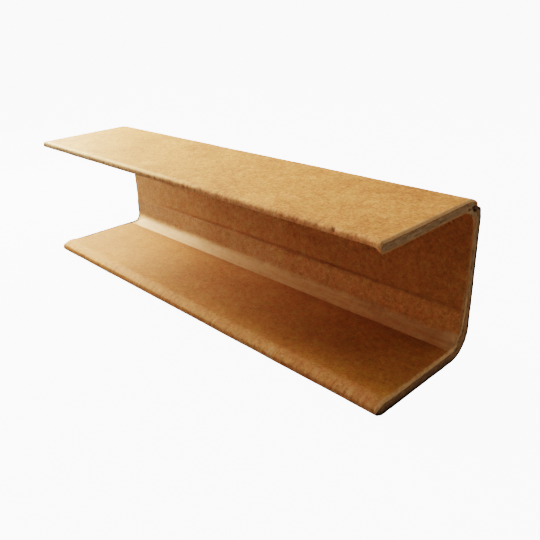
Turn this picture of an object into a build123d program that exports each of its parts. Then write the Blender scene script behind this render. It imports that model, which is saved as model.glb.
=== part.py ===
from build123d import *
import os

# U-shaped edge protector, folded from one laminated kraft paper board.
# Length along X, closed web at +Y, open mouth towards -Y, lower flange on the ground.
# Origin: middle of the length and of the flange width, on the underside.
# All sizes in millimetres.

# Overall size
length = 193.0              # between the two sawn ends
flange_width = 50.0         # from the web's outer face to the free edges
web_height = 55.0           # from underside to top face

# Board thickness, which differs a little from panel to panel
top_thickness = 3.8
web_thickness = 4.4
bottom_thickness = 4.7

# Upper fold: a plain rolled round
top_outer_radius = 8.0
top_inner_radius = 6.0

# Lower fold: round outside; inside, a hollow round that ends in a shallow pressed facet
bottom_outer_radius = 9.5
facet_foot = 10.6           # from the web's outer face to where the facet meets the flange
facet_top = 7.2             # height where the web's line and the facet's line would meet
facet_top_inset = 5.7       # from the web's outer face to that point
facet_top_radius = 3.5      # hollow round between the two
facet_foot_radius = 0.5

# Score line pressed into the web's inner face above the facet
crease_height = 16.8
crease_half_width = 0.5
crease_depth = 0.35
crease_step = 0.3           # the panel below the score stands proud by this much

# Free edge of the upper flange, wrapped: round above, cut back below
top_edge_radius = 1.2
top_edge_corner = 2.15      # from the top face down to the lower corner of the edge
top_edge_corner_radius = 0.35
top_bevel_run = 3.3         # from the edge back to where the bevel meets the flat underside
top_bevel_radius = 3.0

# Free edge of the lower flange, wrapped and rolled to a blunt nose with a low lip behind it
lip_rise = 0.5
lip_from_edge = 3.9
lip_run = 4.5               # length over which the lip rises
nose_upper = 3.6            # height of the nose's upper corner
nose_lower = 1.3            # height of the nose's lower corner
nose_under_run = 2.8        # underside run from the edge to the ground contact

y_web = flange_width / 2                  # web's outer face
y_edge = -flange_width / 2                # free edges of both flanges
y_web_in = y_web - web_thickness          # web's inner face
z_top_in = web_height - top_thickness     # underside of the upper flange

# Section corners (y, z) with the radius that rounds each one, starting at the
# upper flange's free edge and going round the inside first.
corners = [
    (y_edge, web_height, top_edge_radius),
    (y_edge, web_height - top_edge_corner, top_edge_corner_radius),
    (y_edge + top_bevel_run, z_top_in, top_bevel_radius),
    (y_web_in, z_top_in, top_inner_radius),
    (y_web_in, crease_height + crease_half_width, 0.2),
    (y_web_in + crease_depth, crease_height, 0.15),
    (y_web_in - crease_step, crease_height - crease_half_width, 0.2),
    (y_web - facet_top_inset, facet_top, facet_top_radius),
    (y_web - facet_foot, bottom_thickness, facet_foot_radius),
    (y_edge + lip_from_edge + lip_run, bottom_thickness, 12.0),
    (y_edge + lip_from_edge, bottom_thickness + lip_rise, 3.0),
    (y_edge, nose_upper, 1.3),
    (y_edge, nose_lower, 1.0),
    (y_edge + nose_under_run, 0.0, 2.5),
    (y_web, 0.0, bottom_outer_radius),
    (y_web, web_height, top_outer_radius),
]

outline = FilletPolyline(
    *[(y, z) for y, z, _ in corners],
    radius=[r for _, _, r in corners],
    close=True,
)
section = Plane.YZ * make_face(outline)

# The board runs straight between its two sawn ends.
edge_protector = extrude(section, amount=length / 2, both=True)

os.makedirs("parts", exist_ok=True)
export_step(edge_protector, "parts/edge_protector.step")

print("section area mm2", round(section.area, 2))
print("volume mm3", round(edge_protector.volume, 1))
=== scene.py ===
import math

import bpy
import numpy as np
from mathutils import Matrix, Vector


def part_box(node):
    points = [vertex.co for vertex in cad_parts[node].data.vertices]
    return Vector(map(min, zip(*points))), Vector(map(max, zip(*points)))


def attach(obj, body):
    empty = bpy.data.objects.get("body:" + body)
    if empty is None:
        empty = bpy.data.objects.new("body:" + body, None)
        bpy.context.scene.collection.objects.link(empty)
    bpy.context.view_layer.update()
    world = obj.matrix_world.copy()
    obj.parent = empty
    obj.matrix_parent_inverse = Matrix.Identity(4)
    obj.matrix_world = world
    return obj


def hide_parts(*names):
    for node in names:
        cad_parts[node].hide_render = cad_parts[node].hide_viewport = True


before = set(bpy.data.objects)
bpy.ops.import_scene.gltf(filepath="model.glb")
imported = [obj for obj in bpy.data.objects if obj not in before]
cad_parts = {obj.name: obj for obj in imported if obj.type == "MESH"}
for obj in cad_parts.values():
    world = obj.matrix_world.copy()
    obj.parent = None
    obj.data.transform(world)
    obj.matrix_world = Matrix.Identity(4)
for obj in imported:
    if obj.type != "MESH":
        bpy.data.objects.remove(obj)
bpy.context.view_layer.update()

# ---------------------------------------------------------------------------
# Sizes, in millimetres, in the row frame: X along the channel, web at +Y, +Z up
# ---------------------------------------------------------------------------
HALF = 96.5            # half the length
LOW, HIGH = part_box("edge_protector")
assert abs(HIGH.x * 1000 - HALF) < 0.05 and abs(HIGH.z * 1000 - 55.0) < 0.05

TOP_TIP = (-25.0, 53.3)
LOW_TIP = (-25.0, 2.35)

# inside of the section, from the upper flange's free edge to the lower one: (y, z, rounding)
INSIDE = [
    (*TOP_TIP, 0), (-25.0, 52.85, 0.35), (-21.7, 51.2, 3.0), (20.6, 51.2, 6.0),
    (20.6, 17.8, 0.6), (20.76, 16.9, 0.4), (20.32, 15.8, 0.8),
    (19.3, 7.2, 3.5), (14.4, 4.7, 0.3), (-16.6, 4.7, 12.0), (-21.1, 5.2, 3.0),
    (-25.0, 3.6, 1.3), (*LOW_TIP, 0),
]
# outside of the section, in the same direction
OUTSIDE = [
    (*TOP_TIP, 0), (-25.0, 55.0, 1.2), (25.0, 55.0, 8.0), (25.0, 0.0, 9.5),
    (-22.2, 0.0, 2.5), (-25.0, 1.3, 1.0), (*LOW_TIP, 0),
]
# matched places on both, and how many steps lead to the next
MARKS = [
    (TOP_TIP, TOP_TIP, 16),
    ((-21.0, 51.2), (-21.0, 55.0), 14),
    ((14.6, 51.2), (17.0, 55.0), 26),
    ((20.6, 45.2), (25.0, 47.0), 9),
    ((20.6, 18.4), (25.0, 18.4), 16),
    ((20.22, 15.0), (25.0, 15.0), 6),
    ((19.74, 10.9), (25.0, 9.5), 30),
    ((13.4, 4.7), (15.5, 0.0), 12),
    ((-16.0, 4.7), (-16.0, 0.0), 22),
    (LOW_TIP, LOW_TIP, 0),
]


# ---------------------------------------------------------------------------
# Small numeric helpers
# ---------------------------------------------------------------------------
def smooth(a, b, x):
    t = np.clip((np.asarray(x, float) - a) / (b - a), 0, 1)
    return t * t * (3 - 2 * t)


def bump1(x, centre, width):
    return np.exp(-(((np.asarray(x, float) - centre) / width) ** 2))


class Lattice:
    """Smooth seeded noise from -1 to 1."""

    def __init__(self, seed):
        self.t = np.random.default_rng(seed).uniform(-1, 1, (128, 128))

    def __call__(self, u, v=0.0):
        u, v = np.broadcast_arrays(np.asarray(u, float), np.asarray(v, float))
        iu, iv = np.floor(u).astype(int), np.floor(v).astype(int)
        fu, fv = u - iu, v - iv
        fu, fv = fu * fu * (3 - 2 * fu), fv * fv * (3 - 2 * fv)
        t = self.t
        a, b = t[iu % 128, iv % 128], t[(iu + 1) % 128, iv % 128]
        c, d = t[iu % 128, (iv + 1) % 128], t[(iu + 1) % 128, (iv + 1) % 128]
        return (a * (1 - fu) + b * fu) * (1 - fv) + (c * (1 - fu) + d * fu) * fv


def rounded(corners):
    """A dense polyline through the corners, each rounded by its radius."""
    p = [np.array(c[:2], float) for c in corners]
    out = [p[0]]
    for k in range(1, len(p) - 1):
        a, b, c, r = p[k - 1], p[k], p[k + 1], corners[k][2]
        u, v = (a - b) / np.linalg.norm(a - b), (c - b) / np.linalg.norm(c - b)
        half = math.acos(max(-1, min(1, float(u @ v)))) / 2
        start, stop = b + u * r / math.tan(half), b + v * r / math.tan(half)
        mid = b + (u + v) / np.linalg.norm(u + v) * r / math.sin(half)
        a0 = math.atan2(*(start - mid)[::-1])
        turn = (math.atan2(*(stop - mid)[::-1]) - a0 + math.pi) % (2 * math.pi) - math.pi
        for t in np.linspace(0, 1, 33):
            out.append(mid + r * np.array([math.cos(a0 + turn * t), math.sin(a0 + turn * t)]))
    out.append(p[-1])
    out = np.array(out)
    dense = []
    for a, b in zip(out[:-1], out[1:]):
        n = max(1, int(np.linalg.norm(b - a) / 0.05))
        dense += [a + (b - a) * i / n for i in range(n)]
    return np.array(dense + [out[-1]])


def matched(line, places, steps):
    """Points of a dense line, evenly spaced between the given places on it."""
    run = np.r_[0, np.cumsum(np.linalg.norm(np.diff(line, axis=0), axis=1))]
    at = [run[int(np.argmin(np.linalg.norm(line - np.array(q), axis=1)))] for q in places]
    s = [np.linspace(a, b, n + 1)[:-1] for a, b, n in zip(at[:-1], at[1:], steps[:-1])]
    s = np.concatenate(s + [[at[-1]]])
    return np.c_[np.interp(s, run, line[:, 0]), np.interp(s, run, line[:, 1])]


STEPS = [m[2] for m in MARKS]
inner = matched(rounded(INSIDE), [m[0] for m in MARKS], STEPS)
outer = matched(rounded(OUTSIDE), [m[1] for m in MARKS], STEPS)
K = len(inner) - 1
FIRST = np.cumsum([0] + STEPS[:-1])          # index of each mark
K_TOP, K_FOLD, K_WEB, K_SCORE, K_LOWER, K_FACET, K_FLAT, K_LIP = FIRST[1:9]
middle = (inner + outer) / 2
run_mid = np.r_[0, np.cumsum(np.linalg.norm(np.diff(middle, axis=0), axis=1))]   # way round the section
index = np.arange(K + 1)

# upper flange's edge where the cut has spread it open to its full thickness
spread = matched(
    rounded([(*TOP_TIP, 0), (-25.0, 52.0, 0.3), (-24.6, 51.3, 0.3), (-21.0, 51.2, 0)]),
    [TOP_TIP, (-21.0, 51.2)], [STEPS[0], 0],
)
# lower fold's inside at the far cut, where the facet runs out into a plain round
plain = matched(
    rounded([(20.1, 10.9, 0), (20.15, 7.7, 1.8), (18.5, 5.0, 1.2), (15.6, 4.7, 1.5), (13.4, 4.7, 0)]),
    [(20.1, 10.9), (13.4, 4.7)], [STEPS[6], 0],
)
# the same place at the near cut, where the liner has torn away in a step
torn_in = matched(
    rounded([(19.9, 10.9, 0), (19.35, 8.9, 0.8), (18.0, 8.2, 0.3), (17.45, 5.6, 0.6), (15.9, 4.85, 0.9), (13.4, 4.7, 0)]),
    [(19.9, 10.9), (13.4, 4.7)], [STEPS[6], 0],
)

# stations along the length, closer together at both cuts
end_steps = np.array([0, 0.12, 0.26, 0.42, 0.62, 0.86, 1.15, 1.5, 1.9, 2.4, 3.0])
stations = np.concatenate([
    -HALF + end_steps,
    np.linspace(-HALF + 3.0, HALF - 3.0, 266)[1:-1],
    HALF - end_steps[::-1],
])
M = len(stations)

n_wave, n_micro_i, n_micro_o = Lattice(11), Lattice(12), Lattice(13)
n_line, n_edge, n_ply, n_rag = Lattice(14), Lattice(15), Lattice(16), Lattice(17)


def lean_of(y, z, k):
    """The web leans in a little towards its foot, and takes the lower flange with it."""
    web = -0.65 * np.clip((46.5 - z) / 36.0, 0, 1)
    return np.where(k >= K_FACET + 8, -0.65 + 0.42 * np.clip((15 - y) / 40, 0, 1), web)


# dents and scuffs on the upper flange's free edge: place along X, size, depth
EDGE_DENTS = [
    (-71.0, 1.6, 0.10), (-47.5, 1.2, 0.10), (-12.0, 1.4, 0.12), (22.1, 1.0, 0.22), (44.0, 1.3, 0.10),
    (66.7, 0.9, 0.18), (71.6, 0.9, 0.20), (74.0, 1.1, 0.22), (80.0, 1.3, 0.34), (87.7, 0.9, 0.22),
]
# dents on the lower flange's free edge
LOW_DENTS = [(-58.0, 1.6, 0.12), (-21.0, 1.3, 0.16), (9.0, 1.8, 0.12), (38.5, 1.4, 0.18), (63.0, 1.1, 0.14), (84.5, 1.6, 0.2)]


SOFT = 0.75                                  # how far the rounding at the near cut reaches


def soft_share(side, k, z):
    """Where the near cut's liner is rounded over: over the upper flange, and inside along the lower half."""
    if side == 1:
        return 0.25 + 0.75 * (1 - smooth(K_FOLD + 4, K_FOLD + 12, k))
    return 0.15 + 0.85 * smooth(30, 18, z) * (k > K_FOLD)


def skin(side):
    """Points of one side of the board, stations by places round the section."""
    base = inner if side == 0 else outer
    x = stations[:, None]
    k = index[None, :]
    y = np.repeat(base[None, :, 0], M, 0)
    z = np.repeat(base[None, :, 1], M, 0)
    if side == 0:
        w = smooth(93.9, 96.1, x) * (0.85 + 0.15 * n_edge(x * 2.0, 3.3))
        sp = np.zeros((K + 1, 2)); sp[: STEPS[0] + 1] = spread - inner[: STEPS[0] + 1]
        y, z = y + w * sp[None, :, 0], z + w * sp[None, :, 1]
        for w, other in ((smooth(-86.5, -95.5, x), plain), (smooth(94.5, 96.0, x), torn_in)):
            pl = np.zeros((K + 1, 2)); pl[K_FACET : K_FLAT + 1] = other - inner[K_FACET : K_FLAT + 1]
            pl[K_LOWER : K_FACET, 0] = (other[0, 0] - inner[K_FACET, 0]) * np.linspace(0, 1, STEPS[5], endpoint=False)
            y, z = y + w * pl[None, :, 0], z + w * pl[None, :, 1]
        # the facet wanders, and so does the score above it
        win = smooth(K_FACET + 3, K_FACET + 12, k) * (1 - smooth(K_FLAT - 3, K_FLAT + 1, k))
        d = win * (0.26 * n_line(x / 21.0, 1.5) + 0.10 * n_line(x / 7.0, 7.5)) * (1 - smooth(-84, -92, x)) * (1 - smooth(90, 95, x))
        y, z = y - 0.85 * d, z + 0.25 * d
        win = bump1(base[None, :, 1], 16.9, 2.4) * (k > K_WEB) * (k < K_FACET)
        z = z + win * 0.22 * n_line(x / 33.0, 12.5)
        # the score is deeper in places and dies out towards both cuts
        groove = (bump1(base[None, :, 1], 16.9, 0.6) * (k > K_WEB) * (k < K_FACET))
        fade = smooth(-80, -50, x) * (1 - 0.75 * smooth(70, 92, x)) * (0.8 + 0.35 * n_line(x / 9.0, 20.5))
        y = y + groove * 0.22 * (fade - 1.0)
    lean = lean_of(y, z, k)
    y = y + lean
    # the near cut's free edge stands out a little
    w = smooth(90.5, 96.2, x) * (1 - smooth(4, 16, k))
    y, z = y - 0.45 * w, z + 0.12 * w
    # panels are never quite flat
    n = outer - inner
    length = np.maximum(np.linalg.norm(n, axis=1), 1e-6)
    n = n / np.maximum(length, 0.4)[:, None]
    s = run_mid[None, :]
    loose = 1 - smooth(K_FLAT - 12, K_FLAT + 2, k)      # the lower flange stays on the ground
    d = (0.13 * n_wave(s / 31.0, x / 47.0) + 0.05 * n_wave(s / 9.0 + 40, x / 17.0)) * loose
    if side == 0:
        d = d + 0.05 * n_wave(s / 12.0 + 70, x / 23.0) * (1 - loose)
    micro = n_micro_i if side == 0 else n_micro_o
    fine = 0.022 * micro(s / 2.4, x / 2.2) + 0.014 * micro(s / 1.1 + 31, x / 1.2)
    fine = fine * (1 if side == 0 else loose)
    sign = -1 if side == 0 else 1
    y = y + n[None, :, 0] * (d + sign * fine)
    z = z + n[None, :, 1] * (d + sign * fine)
    # wrapped free edges: cross wrinkles and dents
    for tip, centre, dents, at in (
        (1 - smooth(8, 17, k), (-22.6, 53.0), EDGE_DENTS, (-24.7, 54.3)),
        (smooth(K - 14, K - 5, k), (-22.0, 2.6), LOW_DENTS, (-24.7, 3.4)),
    ):
        vy, vz = centre[0] - y, centre[1] - z
        vl = np.maximum(np.hypot(vy, vz), 0.5)
        wr = tip * (0.020 * n_edge(x / 0.95, k / 9.0) + 0.030 * n_edge(x / 2.7 + 9, k / 14.0) + 0.07 * n_edge(x / 11.0 + 5, 2.2))
        for place, size, depth in dents:
            near = np.hypot(y - at[0], z - at[1]) / (0.9 + size * 0.4)
            wr = wr + depth * bump1(x, place, size) * np.exp(-near ** 2)
        y, z = y + vy / vl * wr, z + vz / vl * wr
    # the saw has rounded the liner over where it came out, and left it ragged
    over = SOFT * (1 - np.sqrt(1 - 0.97 * np.clip((np.abs(x) - HALF + SOFT) / SOFT, 0, 1) ** 2))
    much = np.where(x > 0, soft_share(side, k, z), 0.35)
    rag = smooth(0.50, 0.0, HALF - np.abs(x))
    lift = rag * (0.02 + 0.06 * n_rag(s / 1.3, np.sign(x) * 9.0) + 0.04 * n_rag(s / 0.5 + 50, np.sign(x) * 3.0)) - over * much
    y, z = y + sign * n[None, :, 0] * lift, z + sign * n[None, :, 1] * lift
    if side == 1:
        # the outer plies of the web have let go of the upper fold at the near cut
        gap = bump1(s, NOTCH_S, 0.75) * smooth(93.2, 96.1, x)
        y, z = y - n[None, :, 0] * gap * 0.95, z - n[None, :, 1] * gap * 0.95
        lip = bump1(s, NOTCH_S + 2.1, 1.0) * smooth(91.5, 96.2, x)
        y, z = y + n[None, :, 0] * lip * 0.28, z + n[None, :, 1] * lip * 0.28
        # nothing reaches below the ground
        z = np.maximum(z, 0.0)
    else:
        # crushed inner plies bulge at the upper fold
        bulge = bump1(s, NOTCH_S - 0.6, 2.6) * smooth(82, 96, x)
        y, z = y - n[None, :, 0] * bulge * 0.25, z - n[None, :, 1] * bulge * 0.25
    xx = np.repeat(x, K + 1, 1) * 1.0
    # ragged line of both cuts
    cut = smooth(0.5, 0.0, HALF - np.abs(x))
    xx = xx - np.sign(x) * cut * (0.05 + 0.05 * n_rag(s / 0.9 + 60, np.sign(x) * 4.0 + side * 11))
    return np.stack([xx, y, z], -1)


NOTCH_S = float(run_mid[K_FOLD + int(STEPS[2] * 0.56)])
S_IN, S_OUT = skin(0), skin(1)
S_OUT[:, 0], S_OUT[:, K] = S_IN[:, 0], S_IN[:, K]      # both sides meet at the free edges

# ---------------------------------------------------------------------------
# One closed mesh: both sides and the two cut faces with their plies
# ---------------------------------------------------------------------------
T = 24                 # steps through the thickness on a cut face
PLY = 0.40             # thickness of one ply
verts, faces, mats = [], [], []
attr = {n: [] for n in (
    "facet", "foot", "strip", "inside", "base", "stain", "edge", "score", "soil", "rim", "face", "worn", "skin_out",
    "depth_in", "depth_out", "along", "gap",
)}


def note(n, **given):
    for name in attr:
        attr[name].append(np.broadcast_to(np.asarray(given.get(name, 0.0), float), (n,)).copy())


def grid_ids(start, rows, cols):
    return np.arange(start, start + rows * cols).reshape(rows, cols)


def quads(a, b, c, d):
    return np.stack([a.ravel(), b.ravel(), c.ravel(), d.ravel()], 1)


kk = np.broadcast_to(index[None, :], (M, K + 1))
xx = np.broadcast_to(stations[:, None], (M, K + 1))
seat = np.broadcast_to(inner[None, :, 0], (M, K + 1))      # the section's own y and z at each vertex
rise = np.broadcast_to(inner[None, :, 1], (M, K + 1))
# the facet, pressed smooth: painted paler as the sheen the lamps leave on it, soft above, ending sharply where it
# meets the flange
facet_w = smooth(9.3, 6.6, rise) * (seat > 14.3) * (kk > K_LOWER) * (1 - 0.25 * smooth(-88, -95, xx))
facet_w = facet_w + 0.9 * smooth(88.5, 94.5, xx) * smooth(10.0, 8.0, rise) * (seat > 14.3) * (kk > K_LOWER)
# the shaded strip of flange right beside it
foot_w = smooth(9.5, 13.2, seat) * (seat <= 14.3) * (rise < 5) * (kk > K_FACET)
edge_w = np.maximum(1 - smooth(9, 17, kk), smooth(K - 12, K - 5, kk))
score_w = bump1(S_IN[..., 2] - 0.22 * n_line(xx / 33.0, 12.5), 16.85, 0.85) * (kk > K_WEB) * (kk < K_FACET)
score_w = score_w * smooth(-96, -62, xx) * (1 - 0.35 * smooth(78, 92, xx)) * (0.85 + 0.4 * n_line(xx / 9.0, 20.5))
# the strip of web between score and facet, which tilts up a little: painted light, paler than the web above it, most
# of all at the near end, and a little darker at the far end
web_strip_light_w = smooth(17.2, 15.6, rise) * smooth(7.5, 10.0, rise) * (kk > K_WEB) * (kk < K_FLAT)
# inside of the channel, and its lower flange
inside_w = smooth(K_FOLD - 6, K_FOLD + 10, kk) * (1 - smooth(K - 16, K - 9, kk))
floor_w = smooth(K_FLAT - 3, K_FLAT - 1, kk)


def soil(points, k, side):
    """Darkens the liner beside the far cut, most of it on the lower flange."""
    x, y, z = points[..., 0], points[..., 1], points[..., 2]
    wander = 0.30 * n_edge(y / 2.3 + z / 2.1, 44.4) + 0.18 * n_edge(y / 0.8, 40.1 + z / 0.9)
    if side == 1:
        return 0.5 * smooth(0.8, 0.2, HALF + x + wander) * (z > 52)
    wide = 1.35 + 0.9 * smooth(4, 15, y)
    low = smooth(wide + 0.7, wide - 0.5, HALF + x + wander) * smooth(-21, -14, y) * (z < 5.2)
    fold = 0.9 * smooth(1.5, 0.7, HALF + x + wander) * (z >= 5.2) * smooth(12, 9, z)
    web = 0.50 * smooth(1.1, 0.3, HALF + x + wander) * smooth(50, 30, z) * (z > 9)
    nose = 0.45 * smooth(1.0, 0.3, HALF + x + wander)
    return np.maximum(np.maximum(low, fold), np.maximum(web, nose))


def rim(points, k, side):
    """The fuzzy edge of the liner at the near cut, on the parts that face up: its frayed fibres, painted pale as a
    highlight.
    """
    x, y, z = points[..., 0], points[..., 1], points[..., 2]
    wander = 0.16 * n_rag(y / 1.1 + z / 0.9, 22.2) + 0.10 * n_rag(y / 0.4, 26.6 + z / 0.4)
    return smooth(0.95, 0.45, HALF - x + wander) * soft_share(side, k, z)


def front(points):
    """Front face of the upper flange's free edge, which is painted brighter for the light it catches, and the line
    along the top of it, where a highlight is painted.
    """
    x, y, z = points[..., 0], points[..., 1], points[..., 2]
    face = smooth(-23.9, -24.7, y) * smooth(51.6, 52.4, z) * smooth(54.95, 54.4, z)
    worn = bump1(y, -24.15, 0.85) * smooth(54.0, 54.6, z) * (0.8 + 0.3 * n_edge(x / 3.3, 60.5))
    return face, worn * smooth(30, -25, x)



def stains(points, side):
    """Darkening in the dents along both free edges, the deeper the dent the darker, and the few dark flecks on the
    panels.
    """
    x, y, z = points[..., 0], points[..., 1], points[..., 2]
    v = np.zeros(x.shape)
    for place, size, depth in EDGE_DENTS:
        v = np.maximum(v, min(1.0, depth * 2.6) * np.exp(-(((x - place) / (0.62 * size)) ** 2 + ((y + 24.5) / 0.9) ** 2 + ((z - 54.1) / 0.85) ** 2)))
    for place, size, depth in LOW_DENTS:
        v = np.maximum(v, depth * 2.5 * np.exp(-(((x - place) / (0.6 * size)) ** 2 + ((y + 24.6) / 0.8) ** 2 + ((z - 3.2) / 0.8) ** 2)))
    for px, py, pz, r, d in ((29.8, -20.7, 55.0, 0.8, 0.55), (-95.6, 19.0, 54.8, 1.0, 0.9)):
        v = np.maximum(v, d * np.exp(-((x - px) ** 2 + (y - py) ** 2 + (z - pz) ** 2) / r ** 2))
    return v


i_id = grid_ids(0, M, K + 1)
verts.append(S_IN.reshape(-1, 3))
face_i, worn_i = front(S_IN)
note(
    S_IN.shape[0] * S_IN.shape[1], facet=facet_w.ravel(), stain=stains(S_IN, 0).ravel(), edge=edge_w.ravel(),
    foot=foot_w.ravel(), strip=web_strip_light_w.ravel(), inside=inside_w.ravel(), base=floor_w.ravel(),
    rim=rim(S_IN, kk, 0).ravel(), face=face_i.ravel(), worn=worn_i.ravel(),
    score=score_w.ravel(), soil=soil(S_IN, kk, 0).ravel(), along=np.broadcast_to(run_mid, (M, K + 1)).ravel(),
)
o_id = grid_ids(M * (K + 1), M, K - 1)
o_full = np.concatenate([i_id[:, :1], o_id, i_id[:, -1:]], 1)
verts.append(S_OUT[:, 1:-1].reshape(-1, 3))
face_o, worn_o = front(S_OUT[:, 1:-1])
note(
    M * (K - 1), stain=stains(S_OUT[:, 1:-1], 1).ravel(), edge=edge_w[:, 1:-1].ravel(), skin_out=1.0,
    rim=rim(S_OUT[:, 1:-1], kk[:, 1:-1], 1).ravel(), face=face_o.ravel(), worn=worn_o.ravel(),
    soil=soil(S_OUT[:, 1:-1], kk[:, 1:-1], 1).ravel(), along=np.broadcast_to(run_mid[1:-1], (M, K - 1)).ravel(),
)

f = quads(i_id[:-1, :-1], i_id[:-1, 1:], i_id[1:, 1:], i_id[1:, :-1]); faces.append(f); mats.append(np.zeros(len(f), int))
f = quads(o_full[:-1, :-1], o_full[1:, :-1], o_full[1:, 1:], o_full[:-1, 1:]); faces.append(f); mats.append(np.zeros(len(f), int))

# gaps between plies at the near cut's upper fold: (y, z, half length, half width, turn in degrees, depth)
GAPS = [
    (20.85, 52.0, 1.30, 0.34, 8, 1.9), (22.35, 52.15, 0.7, 0.38, 24, 1.6), (20.9, 50.75, 1.0, 0.30, -10, 1.5),
    (17.5, 51.75, 0.55, 0.26, 5, 0.9), (18.9, 49.5, 0.5, 0.28, -40, 1.0), (22.6, 49.3, 0.9, 0.16, -78, 0.6),
    (15.2, 53.6, 1.6, 0.13, -4, 0.5), (23.2, 44.5, 1.8, 0.13, 90, 0.5), (21.6, 37.5, 1.3, 0.12, 91, 0.4),
    (20.2, 8.6, 1.3, 0.15, 62, 0.5), (17.6, 3.2, 1.3, 0.15, 28, 0.5), (3.5, 2.2, 1.9, 0.12, 1, 0.4),
    (-9.5, 3.1, 1.4, 0.11, -2, 0.35), (-12.0, 53.3, 2.2, 0.11, 1, 0.35), (2.0, 52.4, 1.8, 0.11, -1, 0.35),
]


def cut_face(row, sign, seed):
    """The cut through the plies at one end."""
    ring_i, ring_o = S_IN[row], S_OUT[row]
    t = np.linspace(0, 1, T + 1)
    t = 0.5 - 0.5 * np.cos(math.pi * t) * (0.55 + 0.45 * np.abs(np.cos(math.pi * t)))      # closer together at the liners
    t = (t - t[0]) / (t[-1] - t[0])
    start = sum(len(v) for v in verts)
    ks = np.arange(1, K)
    P = ring_i[ks, None, :] * (1 - t[None, 1:-1, None]) + ring_o[ks, None, :] * t[None, 1:-1, None]
    thick = np.linalg.norm(ring_o[ks] - ring_i[ks], axis=1)[:, None]
    y, z = P[..., 1], P[..., 2]
    s = run_mid[ks][:, None]
    # distance from each side of the board, measured as if the free edges weren't rounded
    into = t[None, 1:-1] * thick
    lean = lean_of(y, z, ks[:, None])
    into = np.where(s < run_mid[K_TOP], z - 51.2, into)
    full = np.where(s < run_mid[K_TOP], 3.8, thick)
    into = np.where(s > run_mid[K_LIP], 4.95 - z, into)
    full = np.where(s > run_mid[K_LIP], 4.95, full)
    # distance from the outline itself
    d_in = t[None, 1:-1] * thick
    d_out = (1 - t[None, 1:-1]) * thick
    rand = Lattice(seed)
    level = into / PLY + 0.25 * rand(s / 14.0, 5.0)
    ply = np.floor(level)
    frac = level - ply
    relief = 0.11 * rand(ply * 7.31 + 3, s / 9.0) + 0.05 * rand(ply * 3.7 + 90, s / 2.2)
    seam = np.exp(-((np.minimum(frac, 1 - frac)) / 0.16) ** 2)
    relief = relief - 0.10 * seam * (0.5 + 0.5 * rand(ply * 5.1 + 17, s / 4.0 + 31))
    fray = 0.05 * rand(s / 0.5 + 11, level * 2.0) + 0.03 * rand(s / 0.23 + 77, level * 4.1)
    inset = np.minimum(smooth(0.0, 0.35, d_in), smooth(0.0, 0.35, d_out))
    hole = np.zeros(y.shape)
    if sign > 0:
        for gy, gz, a, b, turn, deep in GAPS:
            c, q = math.cos(math.radians(turn)), math.sin(math.radians(turn))
            dy, dz = y - gy, z - gz
            u, v = dy * c + dz * q, -dy * q + dz * c
            hole = np.maximum(hole, deep * np.exp(-((u / a) ** 4 + (v / b) ** 2)))
    else:
        level_gap = np.exp(-((into - full * 0.42) / 0.14) ** 2) * smooth(0.35, 0.8, rand(s / 7.0 + 9, 2.0))
        hole = 0.7 * level_gap
    relief = (relief + fray) * inset - 0.04 * inset - hole * smooth(0.0, 0.12, np.minimum(d_in, d_out))
    base_x = ring_i[ks, 0][:, None] * (1 - t[None, 1:-1]) + ring_o[ks, 0][:, None] * t[None, 1:-1]
    P[..., 0] = base_x + sign * relief
    verts.append(P.reshape(-1, 3))
    note(
        P.shape[0] * P.shape[1], depth_in=d_in.ravel(), depth_out=d_out.ravel(),
        along=np.broadcast_to(s, y.shape).ravel(), gap=np.clip(hole / 0.8, 0, 1).ravel(),
    )
    mid_id = grid_ids(start, K - 1, T - 1)
    full_id = np.concatenate([i_id[row, 1:K][:, None], mid_id, o_full[row, 1:K][:, None]], 1)
    a, b, c, d = full_id[:-1, :-1], full_id[1:, :-1], full_id[1:, 1:], full_id[:-1, 1:]
    f = quads(a, b, c, d) if sign > 0 else quads(a, d, c, b)
    out = [f]
    tri = []
    for tip, line, flip in ((i_id[row, 0], full_id[0], False), (i_id[row, K], full_id[-1], True)):
        for j in range(T):
            one = [tip, line[j], line[j + 1]]
            if flip != (sign < 0):
                one = one[::-1]
            tri.append(one)
    return out[0], np.array(tri)


near_q, near_t = cut_face(M - 1, 1, 31)
far_q, far_t = cut_face(0, -1, 47)

V = np.concatenate(verts) * 0.001
quads_all = np.concatenate(faces + [near_q, far_q])
tris_all = np.concatenate([near_t, far_t])
mat_all = np.concatenate([np.concatenate(mats), np.ones(len(near_q) + len(far_q), int), np.ones(len(tris_all), int)])

mesh = bpy.data.meshes.new("board_mesh")
mesh.vertices.add(len(V))
mesh.vertices.foreach_set("co", V.astype(np.float32).ravel())
n_loops = quads_all.size + tris_all.size
mesh.loops.add(n_loops)
mesh.loops.foreach_set("vertex_index", np.concatenate([quads_all.ravel(), tris_all.ravel()]).astype(np.int32))
mesh.polygons.add(len(quads_all) + len(tris_all))
starts = np.concatenate([np.arange(len(quads_all)) * 4, quads_all.size + np.arange(len(tris_all)) * 3])
mesh.polygons.foreach_set("loop_start", starts.astype(np.int32))
mesh.polygons.foreach_set("material_index", mat_all.astype(np.int32))
mesh.update(calc_edges=True)
mesh.validate()
for name, parts in attr.items():
    data = np.concatenate(parts).astype(np.float32)
    mesh.attributes.new(name, "FLOAT", "POINT").data.foreach_set("value", data)
mesh.shade_smooth()
edge_mark = mesh.attributes.new("sharp_edge", "BOOLEAN", "EDGE")
rim = set()
for row in (0, M - 1):
    rim.update(i_id[row].tolist()); rim.update(o_full[row].tolist())
ev = np.zeros(len(mesh.edges) * 2, np.int32)
mesh.edges.foreach_get("vertices", ev)
ev = ev.reshape(-1, 2)
rim = np.array(sorted(rim))
edge_mark.data.foreach_set("value", (np.isin(ev[:, 0], rim) & np.isin(ev[:, 1], rim)))
board = bpy.data.objects.new("paper_channel", mesh)
bpy.context.scene.collection.objects.link(board)


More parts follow.
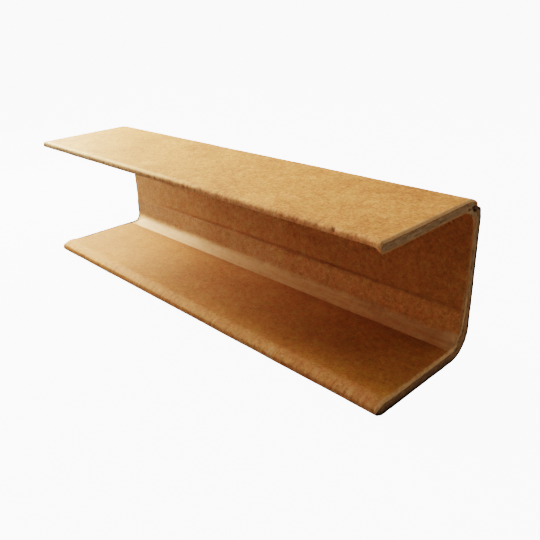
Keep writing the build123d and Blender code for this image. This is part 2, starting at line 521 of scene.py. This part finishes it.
# ---------------------------------------------------------------------------
# Materials
# ---------------------------------------------------------------------------
def new_material(name):
    m = bpy.data.materials.new(name)
    m.use_nodes = True
    m.node_tree.nodes.clear()
    return m, m.node_tree


class Nodes:
    def __init__(self, tree):
        self.t = tree

    def add(self, kind, **props):
        n = self.t.nodes.new(kind)
        for k, v in props.items():
            setattr(n, k, v)
        return n

    def put(self, node, name, value):
        sock = node.inputs[name]
        if isinstance(value, bpy.types.NodeSocket):
            self.t.links.new(value, sock)
        else:
            sock.default_value = value

    def attr(self, name):
        return self.add("ShaderNodeAttribute", attribute_type="GEOMETRY", attribute_name=name).outputs["Fac"]

    def math(self, op, a, b=0.0, c=None, clamp=False):
        n = self.add("ShaderNodeMath", operation=op, use_clamp=clamp)
        self.put(n, 0, a); self.put(n, 1, b)
        if c is not None:
            self.put(n, 2, c)
        return n.outputs[0]

    def remap(self, value, a, b, c=0.0, d=1.0, soft=False):
        n = self.add("ShaderNodeMapRange", interpolation_type="SMOOTHSTEP" if soft else "LINEAR", clamp=True)
        for name, v in (("Value", value), ("From Min", a), ("From Max", b), ("To Min", c), ("To Max", d)):
            self.put(n, name, v)
        return n.outputs["Result"]

    def mix(self, fac, a, b, blend="MIX"):
        n = self.add("ShaderNodeMix", data_type="RGBA", blend_type=blend, clamp_factor=True)
        for sock, v in ((n.inputs[0], fac), (n.inputs[6], a), (n.inputs[7], b)):
            if isinstance(v, bpy.types.NodeSocket):
                self.t.links.new(v, sock)
            else:
                sock.default_value = v
        return n.outputs[2]

    def place(self, scale=(1, 1, 1), turn=(0, 0, 0)):
        c = self.add("ShaderNodeTexCoord")
        m = self.add("ShaderNodeMapping", vector_type="POINT")
        self.put(m, "Vector", c.outputs["Object"])
        m.inputs["Scale"].default_value = scale
        m.inputs["Rotation"].default_value = turn
        return m.outputs["Vector"]

    def noise(self, vector, scale, detail=2.0, rough=0.5, distort=0.0):
        n = self.add("ShaderNodeTexNoise", noise_dimensions="3D")
        self.put(n, "Vector", vector)
        for name, v in (("Scale", scale), ("Detail", detail), ("Roughness", rough), ("Distortion", distort)):
            self.put(n, name, v)
        return n.outputs["Fac"]

    def speck(self, vector, scale, random=1.0):
        n = self.add("ShaderNodeTexVoronoi", voronoi_dimensions="3D", feature="F1")
        self.put(n, "Vector", vector); self.put(n, "Scale", scale); self.put(n, "Randomness", random)
        return n.outputs["Distance"], n.outputs["Color"]


def rgb(r, g, b):
    return (r, g, b, 1.0)


WHITE = rgb(1.0, 1.0, 1.0)
KRAFT = rgb(0.545, 0.262, 0.112)
KRAFT_LIGHT = rgb(0.720, 0.425, 0.225)
KRAFT_DARK = rgb(0.280, 0.108, 0.036)
KRAFT_PALE = rgb(0.700, 0.470, 0.290)
KRAFT_RED = rgb(0.620, 0.245, 0.115)
KRAFT_OLIVE = rgb(0.470, 0.295, 0.100)
FLECK = rgb(0.130, 0.060, 0.025)


def kraft_colour(N, amount):
    """Cloudy, fibrous kraft paper: returns colour, height for bump, and roughness."""
    p = N.place()
    clouds = N.noise(p, 70, 3, 0.55)
    hue = N.noise(N.place((1, 1, 1), (0.4, 0.9, 0.2)), 330, 3, 0.6)
    mottle = N.noise(p, 520, 4, 0.62, 0.3)
    grain = N.noise(p, 1500, 3, 0.65)
    fib_x = N.noise(N.place((420, 1500, 1500), (0.0, 0.0, 0.35)), 1.0, 3, 0.65, 1.2)
    fib_y = N.noise(N.place((1300, 450, 450), (0.2, 0.0, -0.5)), 1.0, 3, 0.65, 1.2)
    fibres = N.math("MULTIPLY", N.math("ADD", fib_x, fib_y), 0.5)
    tone = N.math("ADD", N.math("MULTIPLY", N.math("SUBTRACT", clouds, 0.5), 0.42),
                  N.math("MULTIPLY", N.math("SUBTRACT", mottle, 0.5), 0.62))
    tone = N.math("ADD", tone, N.math("MULTIPLY", N.math("SUBTRACT", fibres, 0.5), 0.95))
    tone = N.math("ADD", tone, N.math("MULTIPLY", N.math("SUBTRACT", grain, 0.5), 0.95))
    tone = N.math("MULTIPLY", tone, amount)
    light = N.remap(tone, 0.0, 0.45, 0.0, 1.0)
    dark = N.remap(tone, 0.0, -0.45, 0.0, 1.0)
    colour = N.mix(N.remap(hue, 0.51, 0.68, 0.0, 0.35), KRAFT, KRAFT_RED)
    colour = N.mix(N.remap(hue, 0.49, 0.32, 0.0, 0.35), colour, KRAFT_OLIVE)
    colour = N.mix(light, colour, KRAFT_LIGHT)
    colour = N.mix(dark, colour, KRAFT_DARK)
    # sparse dark shives and pale fibres
    d, c = N.speck(N.place((330, 520, 520), (0.3, 0.1, 0.7)), 1.0)
    sep = N.add("ShaderNodeSeparateColor"); N.put(sep, "Color", c)
    some = N.remap(sep.outputs[0], 0.90, 0.96)
    shive = N.math("MULTIPLY", N.remap(d, 0.26, 0.14), some)
    colour = N.mix(N.math("MULTIPLY", shive, 0.28), colour, FLECK)
    d2, c2 = N.speck(N.place((420, 760, 760), (0.1, 0.4, -0.6)), 1.0)
    sep2 = N.add("ShaderNodeSeparateColor"); N.put(sep2, "Color", c2)
    pale = N.math("MULTIPLY", N.remap(d2, 0.30, 0.15), N.remap(sep2.outputs[1], 0.84, 0.92))
    colour = N.mix(N.math("MULTIPLY", pale, 0.45), colour, KRAFT_PALE)
    height = N.math("ADD", N.math("MULTIPLY", fibres, 0.55), N.math("MULTIPLY", grain, 0.30))
    height = N.math("ADD", height, N.math("MULTIPLY", mottle, 0.5))
    rough = N.remap(tone, -0.4, 0.4, 0.62, 0.72)
    return colour, height, rough


def finish_material(N, colour, height, rough, strength, distance, spec=0.35):
    bump = N.add("ShaderNodeBump")
    bump.inputs["Strength"].default_value = strength
    bump.inputs["Distance"].default_value = distance
    N.put(bump, "Height", height)
    b = N.add("ShaderNodeBsdfPrincipled")
    N.put(b, "Base Color", colour)
    N.put(b, "Roughness", rough)
    b.inputs["Specular IOR Level"].default_value = spec
    N.put(b, "Normal", bump.outputs["Normal"])
    o = N.add("ShaderNodeOutputMaterial")
    N.t.links.new(b.outputs[0], o.inputs["Surface"])
    return b


mat_liner, tree = new_material("kraft_liner")
N = Nodes(tree)
outside = N.attr("skin_out")
colour, height, rough = kraft_colour(N, N.remap(outside, 0.0, 1.0, 0.90, 1.40))
facet, stain, edge = N.attr("facet"), N.attr("stain"), N.attr("edge")
score, far_dark = N.attr("score"), N.attr("soil")
across = N.add("ShaderNodeSeparateXYZ"); N.put(across, 0, N.place())
far, near = N.remap(across.outputs[0], 0.012, -0.080), N.remap(across.outputs[0], 0.0, 0.085)


def by_length(middle, at_far, at_near):
    return N.mix(near, N.mix(far, rgb(*middle), rgb(*at_far)), rgb(*at_near))


def times(fac, a, b):
    return N.mix(fac, a, b, "MULTIPLY")


# painted light and shade along the inside of the channel: the web greyer towards the far end, which the lamps light,
# and browner towards the near end, which lies in shade; the lower flange a little darker at the far end and much
# darker and browner at the near end
light_shade_tint = N.mix(N.attr("base"), by_length((0.92, 1.00, 1.03), (0.82, 1.02, 1.36), (0.95, 0.90, 0.66)),
             by_length((1.00, 1.00, 1.00), (0.90, 0.88, 0.90), (0.82, 0.82, 0.45)))
colour = times(N.attr("inside"), colour, light_shade_tint)
# painted light on the strip of web between score and facet
colour = times(N.attr("strip"), colour, by_length((1.10, 1.15, 1.30), (0.85, 0.86, 0.90), (1.25, 1.33, 1.60)))
# painted sheen on the facet, broken into patches
facet_sheen_patches = N.noise(N.place((90, 900, 900)), 1.0, 3, 0.6)
pale = N.math("MULTIPLY", facet, N.remap(facet_sheen_patches, 0.25, 0.65, 0.25, 0.60))
colour = N.mix(pale, colour, KRAFT_PALE)
colour = N.mix(N.math("MULTIPLY", N.attr("foot"), 0.30), colour, KRAFT_DARK)
# the score is painted dark: the shade in its pressed groove
score_shade_patches = N.noise(N.place((350, 900, 900)), 1.0, 2, 0.6)
colour = N.mix(N.math("MULTIPLY", score, N.remap(score_shade_patches, 0.25, 0.65, 0.35, 0.75)), colour, KRAFT_DARK)
# along the wrapped free edges: the upper flange's front face painted brighter and paler for the light it catches, a
# painted highlight along the top of it, and cross wrinkles
colour = times(N.attr("face"), colour, by_length((1.05, 1.15, 1.40), (1.00, 1.50, 2.30), (1.40, 1.38, 1.60)))
colour = N.mix(N.math("MULTIPLY", N.attr("worn"), 0.8), colour, rgb(0.880, 0.660, 0.420))
wrinkle = N.noise(N.place((900, 90, 90)), 1.0, 2, 0.6)
# painted shade and highlights of the cross wrinkles along the wrapped free edges
colour = N.mix(N.math("MULTIPLY", edge, N.remap(wrinkle, 0.45, 0.30, 0.0, 0.42)), colour, KRAFT_DARK)
colour = N.mix(N.math("MULTIPLY", edge, N.remap(wrinkle, 0.55, 0.72, 0.0, 0.45)), colour, KRAFT_PALE)
ragged = N.noise(N.place((1100, 1100, 1100)), 1.0, 2, 0.6)
# painted highlight on the frayed liner edge at the near cut
fuzzy = N.math("MULTIPLY", N.attr("rim"), N.remap(ragged, 0.30, 0.60, 0.45, 1.0))
colour = N.mix(N.math("MULTIPLY", fuzzy, 0.85), colour, rgb(0.760, 0.520, 0.320))
dark_mark_mask = N.remap(N.math("ADD", stain, N.math("MULTIPLY", N.math("SUBTRACT", ragged, 0.5), 0.5)), 0.22, 0.60)
colour = N.mix(N.math("MULTIPLY", dark_mark_mask, 0.8), colour, FLECK)
far_dark_mask = N.remap(N.math("ADD", far_dark, N.math("MULTIPLY", N.math("SUBTRACT", ragged, 0.5), 0.35)), 0.10, 0.80)
colour = N.mix(far_dark_mask, colour, rgb(0.022, 0.016, 0.011))
height = N.math("ADD", height, N.math("MULTIPLY", N.math("MULTIPLY", edge, wrinkle), 1.2))
rough = N.math("SUBTRACT", rough, N.math("MULTIPLY", facet, 0.12))
finish_material(N, colour, height, rough, 0.55, 0.00012)

mat_cut, tree = new_material("cut_plies")
N = Nodes(tree)
d_in, d_out, along, gap = N.attr("depth_in"), N.attr("depth_out"), N.attr("along"), N.attr("gap")
warp = N.noise(N.place((60, 60, 60)), 1.0, 2, 0.5)
level = N.math("ADD", N.math("DIVIDE", d_out, PLY), N.math("MULTIPLY", warp, 1.2))
wave = N.math("SINE", N.math("MULTIPLY", level, 2 * math.pi))
combine = N.add("ShaderNodeCombineXYZ")
N.put(combine, 0, N.math("MULTIPLY", along, 0.35)); N.put(combine, 1, N.math("MULTIPLY", N.math("FLOOR", level), 3.7))
tone_ply = N.noise(combine.outputs[0], 1.0, 2, 0.6)
torn = N.noise(N.place((900, 900, 900)), 1.0, 4, 0.7, 0.6)
strand = N.noise(N.place((2600, 700, 700)), 1.0, 3, 0.7, 0.8)
CORE = rgb(0.500, 0.372, 0.272)
CORE_DARK = rgb(0.270, 0.185, 0.120)
CORE_LIGHT = rgb(0.690, 0.550, 0.410)
colour = N.mix(N.remap(tone_ply, 0.30, 0.70), CORE_DARK, CORE)
colour = N.mix(N.remap(torn, 0.55, 0.75, 0.0, 0.6), colour, CORE_LIGHT)
colour = N.mix(N.remap(torn, 0.45, 0.28, 0.0, 0.6), colour, CORE_DARK)
colour = N.mix(N.remap(wave, 0.55, 1.0, 0.0, 0.45), colour, CORE_DARK)
# the gaps between plies painted near black: painted shade inside them
colour = N.mix(gap, colour, rgb(0.012, 0.007, 0.004))
# painted shade: the lower the board runs, the browner and darker its plies are painted, most of all towards the
# outside of the lower flange, next to the ground
S_LOW = float(run_mid[K_FOLD + int(np.argmin(np.abs(inner[K_FOLD:K_LOWER, 1] - 21.0)))])
S_FLOOR = float(run_mid[K_FLAT])
beyond, low = N.remap(along, NOTCH_S - 0.5, NOTCH_S + 0.8), N.remap(along, S_LOW - 2.5, S_LOW + 2.5)
flat = N.remap(along, S_FLOOR - 4.0, S_FLOOR + 2.0)
colour = times(low, colour, rgb(0.97, 0.88, 0.78))
colour = times(N.math("MULTIPLY", flat, N.remap(d_out, 4.0, 0.4)), colour, rgb(0.50, 0.52, 0.62))
# liner seen edge on: kraft inside the web; along the lower half the frayed inside edge painted pale, a painted
# highlight where it faces up; over the upper flange kraft along its inside, and a dark line under its top edge, whose
# frayed fibres carry a pale painted highlight; outside the web and lower flange a near-black painted shade
fuzz = N.math("MULTIPLY", N.math("SUBTRACT", torn, 0.5), 0.45)
deep_in, deep_out = N.math("ADD", d_in, fuzz), N.math("ADD", d_out, fuzz)
web_side = N.math("MULTIPLY", beyond, N.math("SUBTRACT", 1.0, low))
colour = N.mix(N.math("MULTIPLY", web_side, N.remap(deep_in, 1.5, 0.8, 0.0, 0.8)), colour, rgb(0.470, 0.235, 0.095))
colour = N.mix(N.math("MULTIPLY", low, N.remap(deep_in, 0.85, 0.45, 0.0, 0.9)), colour, rgb(0.780, 0.540, 0.330))
over_top = N.math("SUBTRACT", 1.0, beyond)
colour = N.mix(N.math("MULTIPLY", over_top, N.remap(deep_in, 0.50, 0.25, 0.0, 0.8)), colour, rgb(0.520, 0.300, 0.150))
colour = N.mix(N.math("MULTIPLY", over_top, N.remap(deep_out, 1.0, 0.5, 0.0, 0.55)), colour, rgb(0.250, 0.130, 0.060))
colour = N.mix(N.math("MULTIPLY", over_top, N.remap(deep_out, 0.50, 0.25)), colour, rgb(0.760, 0.540, 0.330))
colour = N.mix(N.math("MULTIPLY", beyond, N.remap(deep_out, 1.15, 0.55)), colour, rgb(0.050, 0.037, 0.027))
height = N.math("ADD", N.math("MULTIPLY", torn, 0.6), N.math("MULTIPLY", strand, 0.4))
height = N.math("ADD", height, N.math("MULTIPLY", wave, -0.16))
finish_material(N, colour, height, 0.9, 0.7, 0.00018, spec=0.15)

mesh.materials.append(mat_liner)
mesh.materials.append(mat_cut)

# ---------------------------------------------------------------------------
# Loose paper: torn fibres along the cuts and a chip hanging at the near cut
# ---------------------------------------------------------------------------
rng = np.random.default_rng(5)
fv, ff = [], []


def hair(root, direction, side_dir, length, width, curl):
    """A flat tapered fibre, closed, bent sideways."""
    direction = direction / np.linalg.norm(direction)
    side_dir = side_dir - direction * (side_dir @ direction)
    side_dir = side_dir / max(np.linalg.norm(side_dir), 1e-6)
    up = np.cross(direction, side_dir)
    n, base = 4, len(fv)
    for i in range(n + 1):
        t = i / n
        c = root + direction * length * t + up * curl * length * t * t
        w = width * (1 - 0.8 * t)
        for a in (0, 120, 240):
            fv.append(c + w * (side_dir * math.cos(math.radians(a)) + 0.5 * up * math.sin(math.radians(a))))
    for i in range(n):
        for a in range(3):
            b = (a + 1) % 3
            p, q = base + 3 * i, base + 3 * i + 3
            ff.append((p + a, p + b, q + b, q + a))
    ff.append((base + 2, base + 1, base))
    e = base + 3 * n
    ff.append((e, e + 1, e + 2))


for row, sign, count in ((M - 1, 1, 260), (0, -1, 200)):
    for _ in range(count):
        k = int(rng.integers(2, K - 2)) if rng.random() < 0.6 else int(rng.integers(K_SCORE, K_FLAT))
        side = rng.random() < 0.6
        ring = (S_IN if side else S_OUT)[row]
        n = (outer[k] - inner[k]); n = n / max(np.linalg.norm(n), 1e-6)
        out = np.array([0, *(-n if side else n)])
        a = (ring[k + 1] - ring[k]); a[0] = 0
        mixed = np.array([sign * 1.0, 0, 0]) * rng.uniform(0.2, 1.0) + out * rng.uniform(-0.5, 0.55) + a / np.linalg.norm(a) * rng.normal(0, 0.8)
        root = ring[k] - np.array([sign * 0.08, 0, 0]) - out * 0.05 + (ring[k + 1] - ring[k]) * rng.random()
        if ring[k][2] < 0.8:
            continue
        hair(root, mixed, np.array([0, out[2], -out[1]]) + rng.normal(0, 0.2, 3), rng.uniform(0.15, 0.55), rng.uniform(0.02, 0.045), rng.normal(0, 0.5))

# chip of liner hanging under the upper flange, and lifted flecks round the lower fold
for y0, z0, ln, w, dirn in (
    (7.9, 51.25, 0.75, 0.30, (0.35, -0.25, -0.75)), (7.3, 51.2, 0.45, 0.18, (0.3, 0.3, -0.6)),
    (-24.9, 51.6, 0.55, 0.20, (0.4, 0.2, -0.8)), (19.0, 9.8, 0.7, 0.20, (0.5, -0.5, 0.35)), (17.6, 8.2, 0.6, 0.22, (0.5, -0.6, 0.5)),
    (16.2, 6.3, 0.6, 0.2, (0.6, -0.5, 0.5)), (19.6, 13.0, 0.55, 0.16, (0.6, -0.5, 0.1)), (22.6, 52.0, 0.6, 0.22, (0.6, 0.5, 0.4)),
):
    hair(np.array([HALF - 0.12, y0 - 0.3, z0]), np.array(dirn), np.array([0.0, 1.0, 0.1]), ln, w, 0.3)

fmesh = bpy.data.meshes.new("fibre_mesh")
fmesh.from_pydata([tuple(v * 0.001) for v in fv], [], ff)
fmesh.update()
fmesh.shade_smooth()
fibres_obj = bpy.data.objects.new("torn_fibres", fmesh)
bpy.context.scene.collection.objects.link(fibres_obj)
mat_fibre, tree = new_material("torn_fibre")
N = Nodes(tree)
colour = N.mix(N.noise(N.place((700, 700, 700)), 1.0, 2, 0.5), rgb(0.36, 0.22, 0.12), rgb(0.62, 0.44, 0.27))
finish_material(N, colour, N.noise(N.place((3000, 3000, 3000)), 1.0, 2, 0.5), 0.9, 0.3, 0.00003, spec=0.1)
fmesh.materials.append(mat_fibre)

# ---------------------------------------------------------------------------
# Floor, light and camera
# ---------------------------------------------------------------------------
scene = bpy.context.scene


def plane(name, half, z):
    m = bpy.data.meshes.new(name + "_mesh")
    m.from_pydata([(-half, -half, z), (half, -half, z), (half, half, z), (-half, half, z)], [], [(0, 1, 2, 3)])
    o = bpy.data.objects.new(name, m)
    scene.collection.objects.link(o)
    return o


# the pale floor, and under it a duller one that gives the little light a table throws back
floor = plane("floor", 45.0, -0.00002)
mat_floor, tree = new_material("floor_paper")
N = Nodes(tree)
b = N.add("ShaderNodeBsdfPrincipled")
b.inputs["Base Color"].default_value = rgb(0.27, 0.33, 0.45)
b.inputs["Roughness"].default_value = 0.9
b.inputs["Specular IOR Level"].default_value = 0.0
b.inputs["Emission Color"].default_value = rgb(1.0, 1.0, 1.0)
b.inputs["Emission Strength"].default_value = 4.2
o = N.add("ShaderNodeOutputMaterial")
tree.links.new(b.outputs[0], o.inputs["Surface"])
floor.data.materials.append(mat_floor)
floor.visible_diffuse = floor.visible_glossy = floor.visible_shadow = False
bounce = plane("floor_bounce", 4.0, -0.00003)
mat_bounce, tree = new_material("floor_dull")
N = Nodes(tree)
b = N.add("ShaderNodeBsdfDiffuse")
b.inputs["Color"].default_value = rgb(0.30, 0.30, 0.30)
o = N.add("ShaderNodeOutputMaterial")
tree.links.new(b.outputs[0], o.inputs["Surface"])
bounce.data.materials.append(mat_bounce)
bounce.visible_camera = False

world = bpy.data.worlds.new("studio")
scene.world = world
world.use_nodes = True
world.node_tree.nodes["Background"].inputs["Color"].default_value = (1.0, 1.0, 1.0, 1.0)
world.node_tree.nodes["Background"].inputs["Strength"].default_value = 4.2
world.cycles_visibility.diffuse = world.cycles_visibility.glossy = False

LAMP = (1.0, 0.82, 0.605)
LAMP_GAIN = 0.504
# place, size and power of each soft lamp, all aimed at the channel; the near ones stand close to its far end
for name, place, size, watts in (
    ("lamp_left_near", (-0.254, 0.0, 0.138), 0.14, 2.152),
    ("lamp_over_front", (-0.063, -0.036, 0.290), 0.14, 0.816),
    ("lamp_over_left", (-0.072, 0.0, 0.290), 0.14, 0.410),
    ("lamp_left", (-0.411, 0.0, 0.137), 0.26, 1.979),
    ("lamp_front_left", (-0.317, -0.549, 0.316), 0.40, 1.276),
    ("lamp_back_left", (-0.549, 0.317, 0.316), 0.40, 1.819),
    ("lamp_front_right", (0.830, -0.830, 0.401), 0.80, 2.075),
    ("lamp_right_back", (0.290, 0.290, 0.137), 0.26, 0.850),
    ("lamp_right", (1.174, 0.0, 0.401), 0.80, 0.461),
    ("lamp_back", (0.0, 1.174, 0.401), 0.80, 2.928),
    ("lamp_back_high", (0.0, 0.946, 0.759), 0.80, 0.461),
    ("lamp_back_right", (0.830, 0.830, 0.401), 0.80, 0.576),
):
    lamp = bpy.data.lights.new(name, "AREA")
    lamp.shape = "DISK"
    lamp.size = size
    lamp.energy = watts * LAMP_GAIN
    lamp.color = LAMP
    o = bpy.data.objects.new(name, lamp)
    o.location = place
    o.rotation_euler = (Vector((0, 0, 0.02)) - Vector(place)).to_track_quat("-Z", "Y").to_euler()
    o.visible_camera = False
    scene.collection.objects.link(o)

camera = bpy.data.cameras.new("camera")
camera.sensor_width = 36.0
camera.lens = 601.6117 / 540 * 36.0
camera.clip_start, camera.clip_end = 0.01, 200
cam = bpy.data.objects.new("camera", camera)
right, down, ahead = (0.69115, 0.72132, -0.04479), (0.27165, -0.31672, -0.90879), (-0.66971, 0.61594, -0.41485)
rot = Matrix((right, tuple(-c for c in down), tuple(-c for c in ahead))).transposed()
cam.matrix_world = Matrix.Translation((0.17912802, -0.13954990, 0.11186504)) @ rot.to_4x4()
scene.collection.objects.link(cam)
scene.camera = cam

scene.view_settings.view_transform = "Filmic"
scene.view_settings.look = "High Contrast"

# ---------------------------------------------------------------------------
# Everything rides on the one body
# ---------------------------------------------------------------------------
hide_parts("edge_protector")
for piece in (board, fibres_obj):
    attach(piece, "root")
